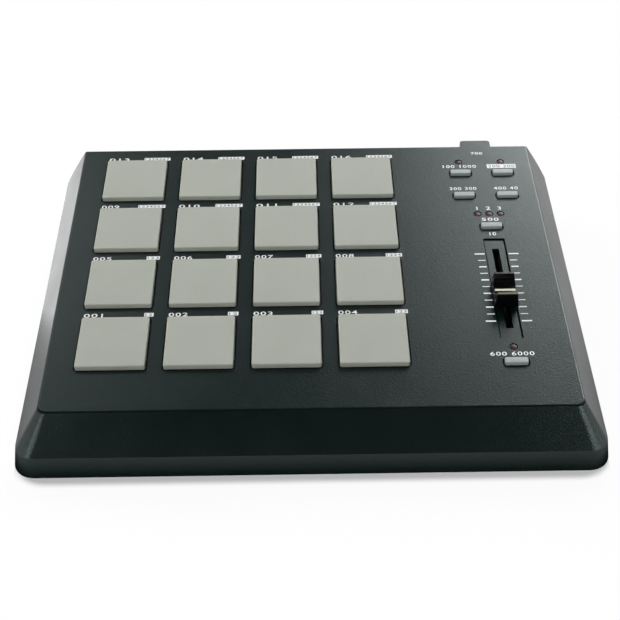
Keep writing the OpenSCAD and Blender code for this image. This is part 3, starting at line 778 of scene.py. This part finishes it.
# Lamps: six 3 mm light-emitting diodes of dark red tinted epoxy, cast with a dome and a foot flange, on
# tinned steel leads that are soldered into the control board. They are off.
def islands(node):
    """The middle of each separate solid of a node, in panel millimetres."""
    skin = merged_copy(node)
    left, found = set(skin.verts), []
    while left:
        reached, todo = set(), [next(iter(left))]
        while todo:
            point = todo.pop()
            if point not in reached:
                reached.add(point)
                todo += [edge.other_vert(point) for edge in point.link_edges]
        left -= reached
        points = mm_in_metre * np.array([point.co for point in reached]) @ to_panel
        found.append((points.min(0) + points.max(0)) / 2)
    skin.free()
    return sorted(found, key=lambda place: (round(place[1]), place[0]))


red_lens, shader, place = start_finish("red_lens")
swirl = grain(place, per_metre=700)
lens_rough, lens_rough_spread = 0.3, 0.1
dress(shader, {
    "Base Color": swirl.tint(shade(0.026, 0.004, 0.005), shade(0.042, 0.007, 0.008)),
    "Roughness": lens_rough + lens_rough_spread * swirl,
    "Specular IOR Level": 0.3,
})
lens_radius, lens_top, crown_radius = 1.5, -0.05, 8.0
flange_radius, flange_low, flange_high = 1.9, -5.1, -4.1
dome = [(flange_radius, flange_low), (flange_radius, flange_high), (lens_radius, flange_high)]
dome_shares = (1.0, 0.97, 0.9, 0.75, 0.5, 0.25, 0.01)
for share in dome_shares:
    radius = share * lens_radius
    dome.append((radius, lens_top - crown_radius + math.sqrt(crown_radius ** 2 - radius ** 2)))
lens_mesh = lofted("lens", [
    rounded_ring(2 * radius, 2 * radius, radius, height) for radius, height in dome
])
smooth(lens_mesh, degrees=50)

copies_tree, copies = new_tree(
    "copies_at_points", Points="Geometry", Source="Object", Finish="Material"
)
copy = copies["Source"].make("GeometryNodeObjectInfo", {}, {"Object": copies["Source"]}, "Geometry")
laid = copy.make("GeometryNodeInstanceOnPoints", {}, {"Points": copies["Points"], "Instance": copy})
close_tree(laid, copies["Finish"])


def set_out(mesh, places, finish):
    """A copy of the mesh at each of these places, as one mesh."""
    source = bpy.data.objects.new(mesh.name, mesh)
    scene.collection.objects.link(source)
    together = grown(copies_tree, places, Source=source, Finish=finish)
    bpy.data.objects.remove(source)
    return together


lens_places = [(across, along, 0) for across, along, out in islands("led_lenses")]
lenses = set_out(lens_mesh, lens_places, red_lens)
lenses.transform(panel)
add_piece("lamp_lenses", lenses, None, "case", ["led_lenses"])


# Fader bay: the bay round the slot is a shallow recess in the housing's plastic. A thin black bed along its
# sides and rear end is painted shade: it stands for the shade of the bay's walls, seen as a dark line.
bay_depth, bay_tolerance, shade_rise = 0.5, 0.02, 0.05
left_shade_width, right_shade_width, rear_shade_width = 0.5, 0.75, 1.2
housing_points = corners("top_housing") - (0, 0, mm_in_metre * panel_level)
bay_points = housing_points[abs(housing_points[:, 2] + bay_depth) < bay_tolerance]
(bay_left, bay_front), (bay_right, bay_rear) = bay_points.min(0)[:2], bay_points.max(0)[:2]
bay_width, bay_length = bay_right - bay_left, bay_rear - bay_front
bay_across, bay_along = (bay_left + bay_right) / 2, bay_front + bay_length / 2


def slab(width, depth, across, along, low, high):
    """A plain block between two heights, in panel millimetres."""
    block = bmesh.new()
    bmesh.ops.create_cube(block, size=1.0)
    mesh = bpy.data.meshes.new("slab")
    block.to_mesh(mesh)
    block.free()
    to_size = Matrix.Diagonal((width, depth, high - low, 1))
    mesh.transform(Matrix.Translation((across, along, (low + high) / 2)) @ to_size)
    return mesh


# Painted shade: black strips on the bay floor along its sides and rear end.
shade_low, shade_high = -bay_depth - shade_rise, -bay_depth + shade_rise
add_piece("inlay_gap", joined("inlay_gap", [
    slab(left_shade_width, bay_length, bay_left + left_shade_width / 2, bay_along, shade_low, shade_high),
    slab(right_shade_width, bay_length, bay_right - right_shade_width / 2, bay_along, shade_low, shade_high),
    slab(bay_width, rear_shade_width, bay_across, bay_rear - rear_shade_width / 2, shade_low, shade_high),
]), shadow_black, "case")


# Fader: a slide control with a folded steel case, a resistance track and a carriage. Its steel lever comes
# up through the slot and carries a black plastic cap with a finger hollow, grooved slopes and a cream line.
cap_low, cap_high, cap_skirt = 0.5, 7.9, 1.0
cap_foot_half, cap_top_half, lip_round = 8.1, 7.5, 0.7
cap_foot_side, cap_top_side, taper_rise = 5.4, 4.6, 1.2
hollow_chord, hollow_depth, hollow_steps = 6.0, 4.2, 60
groove_radius, groove_angles = 0.35, (24, 36, 48)
front_lip_angles, rear_lip_angles = (90, 110, 140, 170), (10, 40, 70, 90)
end_round, end_shrink = 0.35, 0.3
hollow_radius = (hollow_chord ** 2 + hollow_depth ** 2) / (2 * hollow_depth)
hollow_middle = cap_high - hollow_depth + hollow_radius


def hollow_height(along):
    """Height of the finger hollow, with three grooves in each slope."""
    angle = math.degrees(math.asin(along / hollow_radius))
    depth = 0.0
    for groove in groove_angles:
        off = (abs(angle) - groove) * math.pi / 180 * hollow_radius
        depth = max(depth, math.sqrt(max(groove_radius ** 2 - off ** 2, 0)))
    return hollow_middle - math.sqrt(hollow_radius ** 2 - along ** 2) - depth


def cap_lip(along, angles):
    """Points round one of the cap's two lips."""
    turns = [math.radians(angle) for angle in angles]
    return [
        (along + lip_round * math.cos(turn), cap_high - lip_round + lip_round * math.sin(turn))
        for turn in turns
    ]


def cap_half_width(height):
    """The cap narrows from above its skirt to its top."""
    share = (height - cap_low - taper_rise) / (cap_high - cap_low - taper_rise)
    return cap_foot_side + (cap_top_side - cap_foot_side) * min(max(share, 0), 1)


cap_outline = [
    (-cap_foot_half, cap_low), (cap_foot_half, cap_low), (cap_foot_half, cap_low + cap_skirt),
    *cap_lip(cap_top_half - lip_round, rear_lip_angles),
]
for step in range(hollow_steps + 1):
    along = hollow_chord * (1 - 2 * step / hollow_steps)
    cap_outline.append((along, hollow_height(along)))
cap_outline += cap_lip(lip_round - cap_top_half, front_lip_angles)
cap_outline.append((-cap_foot_half, cap_low + cap_skirt))
cap_ends = ((-1, 0, end_shrink), (-1, end_round, 0), (1, end_round, 0), (1, 0, end_shrink))
cap_rings = []
for end, inset, shrink in cap_ends:
    ring = []
    for along, height in cap_outline:
        pulled = along * (1 - shrink / cap_foot_half)
        lowered = cap_low + (height - cap_low) * (1 - shrink / (cap_high - cap_low))
        ring.append((end * (cap_half_width(height) - inset), pulled, lowered))
    cap_rings.append(ring)
cap_mesh = lofted("fader_cap_shell", cap_rings)
smooth(cap_mesh, degrees=28)
cap_place = panel @ Matrix.Translation((*middle("fader_cap"), 0))
cap_mesh.transform(cap_place)
cap_black = moulded_plastic(
    "cap_black", (0.0012, 0.0018, 0.0013), rough=0.3, per_metre=3000, relief=0.000002, gloss=0.25
)
add_piece("fader_cap_shell", cap_mesh, cap_black, "fader", ["fader_cap"])

line_half, line_reach, line_rise, line_along = 0.65, 4.65, 0.12, -0.3
line_sunk, line_chamfer = 0.1, 0.1
line_floor = cap_high - hollow_depth
line_low, line_shoulder = line_floor - line_sunk, line_floor + line_rise / 2
line_top = line_floor + line_rise
line_outline = [
    (-line_reach, line_shoulder), (line_chamfer - line_reach, line_top),
    (line_reach - line_chamfer, line_top), (line_reach, line_shoulder), (line_reach, line_low),
    (-line_reach, line_low),
]
line_mesh = lofted("cap_line", [
    [(across, along, height) for across, height in line_outline]
    for along in (line_along - line_half, line_along + line_half)
])
line_mesh.transform(cap_place)
cream_ink = printing_ink("cream_ink", (0.80, 0.78, 0.62))
add_piece("cap_line", line_mesh, cream_ink, "fader")
# Painted reflection: an olive strip of ink on the cap's front lip stands for the lip's sheen.
painted_lip_sheen_width, painted_lip_sheen_depth, painted_lip_sheen_inset = 8.9, 1.1, 0.6
painted_lip_sheen_sunk, painted_lip_sheen_rise = 0.1, 0.04
lip_line = slab(
    painted_lip_sheen_width, painted_lip_sheen_depth, 0, painted_lip_sheen_inset - cap_top_half, cap_high - painted_lip_sheen_sunk,
    cap_high + painted_lip_sheen_rise,
)
lip_line.transform(cap_place)
olive_ink = printing_ink("olive_ink", (0.10, 0.10, 0.055))
add_piece("lip_line", lip_line, olive_ink, "fader")


def rolled_steel(name, colour, rough):
    """Plated sheet metal with fine rolling marks along the slope."""
    marks_per_metre, mark_detail, mark_stretch = 5000, 3.0, (1, 0.04, 1)
    darkest, palest, rough_spread = 0.88, 1.08, 0.16
    material, shader, place = start_finish(name)
    streaks = place.make("ShaderNodeMapping", {}, {"Vector": place, "Scale": mark_stretch})
    mark = grain(streaks, marks_per_metre, mark_detail)
    dress(shader, {
        "Base Color": mark.tint(toned(colour, darkest), toned(colour, palest)),
        "Metallic": 1.0,
        "Roughness": rough - rough_spread / 2 + rough_spread * mark,
    })
    return material


blackened_steel = rolled_steel("blackened_steel", (0.03, 0.03, 0.03), rough=0.5)
plated_steel = rolled_steel("plated_steel", (0.62, 0.62, 0.63), rough=0.32)
# Partly a dark finish and partly painted shade: the blackened case and lever keep the slot dark.
paint(blackened_steel, "fader_case", "fader_lever")
paint(plated_steel, "led_leads", "sensor_board_screws", "control_board_screws")
track_phenolic = moulded_plastic("track_phenolic", (0.02, 0.018, 0.016), rough=0.5, per_metre=900)
paint(track_phenolic, "fader_track")
paint(switch_black, "fader_carriage")


# Boards: two glass fibre circuit boards with green solder mask hang under the panel, one below the pads and
# one below the controls. A rubber grid, the amber sensor film and black chips go with them, and a ribbon
# joins them.
green_mask, shader, place = start_finish("green_mask")
weave = place.make("ShaderNodeTexBrick", {"offset": 0.5}, {
    "Vector": place, "Scale": 420.0, "Mortar Size": 0.012, "Color1": shade(0.012, 0.10, 0.035),
    "Color2": shade(0.014, 0.115, 0.04), "Mortar": shade(0.03, 0.20, 0.08),
})
gloss_spots = grain(place, per_metre=300)
mask_rough, mask_rough_spread = 0.22, 0.12
dress(shader, {
    "Base Color": weave,
    "Roughness": mask_rough + mask_rough_spread * gloss_spots,
    "Coat Weight": 0.3,
})
paint(green_mask, "sensor_board", "control_board")
chip_black = moulded_plastic("chip_black", (0.010, 0.010, 0.011), rough=0.55, per_metre=5000)
paint(chip_black, "multiplexer_chips", "processor_chip")
paint(silicone("mat_rubber", (0.05, 0.05, 0.05), rough=0.7), "pad_mat")
amber_film = moulded_plastic(
    "amber_film", (0.42, 0.22, 0.05), rough=0.2, per_metre=600, relief=0.000001
)
paint(amber_film, "sensor_film")
ribbon_grey, shader, place = start_finish("ribbon_grey")
wires = place.make(
    "ShaderNodeTexWave", {"wave_type": "BANDS", "bands_direction": "Y"},
    {"Vector": place, "Scale": 250.0}, "Fac",
)
ribbon_rough, ribbon_rough_spread = 0.4, 0.1
dress(shader, {
    "Base Color": wires.tint(shade(0.42, 0.42, 0.41), shade(0.62, 0.62, 0.60)),
    "Roughness": ribbon_rough + ribbon_rough_spread * wires,
    "Normal": roughen(wires, metres=0.0002, strength=0.5),
})
paint(ribbon_grey, "ribbon_cable")
paint(moulded_plastic("connector_white", (0.75, 0.75, 0.70), rough=0.4), "ribbon_sockets")


# Socket: a square type B receptacle on the rear edge of the control board. A folded nickel shell holds a
# white moulding with a tongue, and four gilded contacts lie on the tongue.
paint(rolled_steel("nickel", (0.66, 0.64, 0.60), rough=0.25), "usb_shell")
paint(moulded_plastic("socket_white", (0.78, 0.78, 0.74), rough=0.38), "usb_insulator")
paint(rolled_steel("gilding", (0.85, 0.62, 0.24), rough=0.2), "usb_contacts")


# Underside: a flat cover of black plastic drops into the housing, eight cross-head screws hold it from
# below, and four round rubber feet are glued into shallow seats in it.
cover_plastic = moulded_plastic(
    "cover_plastic", (0.012, 0.013, 0.013), rough=0.5, per_metre=1800, relief=0.000005
)
cover_edge = 25
softened("bottom_cover", "moulded_cover", edge_radius, cover_edge, cover_plastic, "case")


def floor_islands(node):
    """The same as islands(), as places on the floor in metres."""
    places = []
    for across, along, out in islands(node):
        point = (
            Vector((across, 0, 0)) / mm_in_metre + up_slope * along / mm_in_metre
            + out_of_panel * out / mm_in_metre
        )
        places.append((point.x, point.y, 0))
    return places


foot_top = mm_in_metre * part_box("rubber_feet")[1].z
foot_profile = [
    (3.6, 0.25), (4.5, 0.1), (4.9, 0), (5.35, 0.08), (5.7, 0.3), (5.92, 0.7), (6.0, 1.2), (6.0, foot_top),
]
foot_steps = 9
foot_mesh = lofted("foot", [
    rounded_ring(2 * radius, 2 * radius, radius, height, foot_steps) for radius, height in foot_profile
])
smooth(foot_mesh, degrees=40)
foot_mesh.transform(to_metres)
foot_rubber = silicone("foot_rubber", (0.012, 0.012, 0.012), rough=0.75)
feet = set_out(foot_mesh, floor_islands("rubber_feet"), foot_rubber)
add_piece("glued_feet", feet, None, "case", ["rubber_feet"])

screw_low, screw_high = (corner.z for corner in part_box("case_screws"))
screw_length = mm_in_metre * (screw_high - screw_low)
head_radius, head_height, shank_radius = 2.9, 1.45, 1.45
tip_radius, tip_length = 0.5, 0.8
screw_profile = [
    (2.35, 0.0), (2.7, 0.12), (head_radius, 0.45), (head_radius, head_height), (shank_radius, head_height),
    (shank_radius, screw_length - tip_length), (tip_radius, screw_length),
]
cross_half, cross_reach, cross_depth, cross_taper = 0.35, 1.5, 1.0, 0.35
ring_steps = 32
ring_turns = [2 * math.pi * step / ring_steps for step in range(ring_steps)]
screw_skin = bmesh.new()
screw_rings = []
for radius, height in screw_profile:
    ring = [(radius * math.cos(turn), radius * math.sin(turn), height) for turn in ring_turns]
    screw_rings.append([screw_skin.verts.new(point) for point in ring])
for lower, upper in zip(screw_rings, screw_rings[1:]):
    for i in range(ring_steps):
        j = (i + 1) % ring_steps
        screw_skin.faces.new((lower[i], lower[j], upper[j], upper[i]))
screw_skin.faces.new(screw_rings[-1])
cross = []
cross_arm = ((cross_half, cross_half), (cross_half, cross_reach), (-cross_half, cross_reach))
for quarter in range(4):
    turn = math.radians(90 * quarter)
    for across, along in cross_arm:
        cross.append((
            across * math.cos(turn) - along * math.sin(turn),
            across * math.sin(turn) + along * math.cos(turn),
        ))
mouth = [screw_skin.verts.new((x, y, 0.0)) for x, y in cross]
cross_floor = [screw_skin.verts.new((cross_taper * x, cross_taper * y, cross_depth)) for x, y in cross]
for i in range(len(mouth)):
    j = (i + 1) % len(mouth)
    screw_skin.faces.new((mouth[j], mouth[i], cross_floor[i], cross_floor[j]))
screw_skin.faces.new(reversed(cross_floor))
face_edges = [
    screw_skin.edges.get((ring[i], ring[(i + 1) % len(ring)]))
    for ring in (screw_rings[0], mouth) for i in range(len(ring))
]
bmesh.ops.triangle_fill(screw_skin, use_beauty=True, edges=face_edges)
bmesh.ops.recalc_face_normals(screw_skin, faces=screw_skin.faces)
screw_mesh = bpy.data.meshes.new("cross_head_screw")
screw_skin.to_mesh(screw_mesh)
screw_skin.free()
smooth(screw_mesh, degrees=35)
screw_mesh.transform(Matrix.Translation((0, 0, screw_low)) @ to_metres)
zinc = rolled_steel("black_zinc", (0.10, 0.10, 0.105), rough=0.4)
screws = set_out(screw_mesh, floor_islands("case_screws"), zinc)
add_piece("cross_head_screws", screws, None, "case", ["case_screws"])
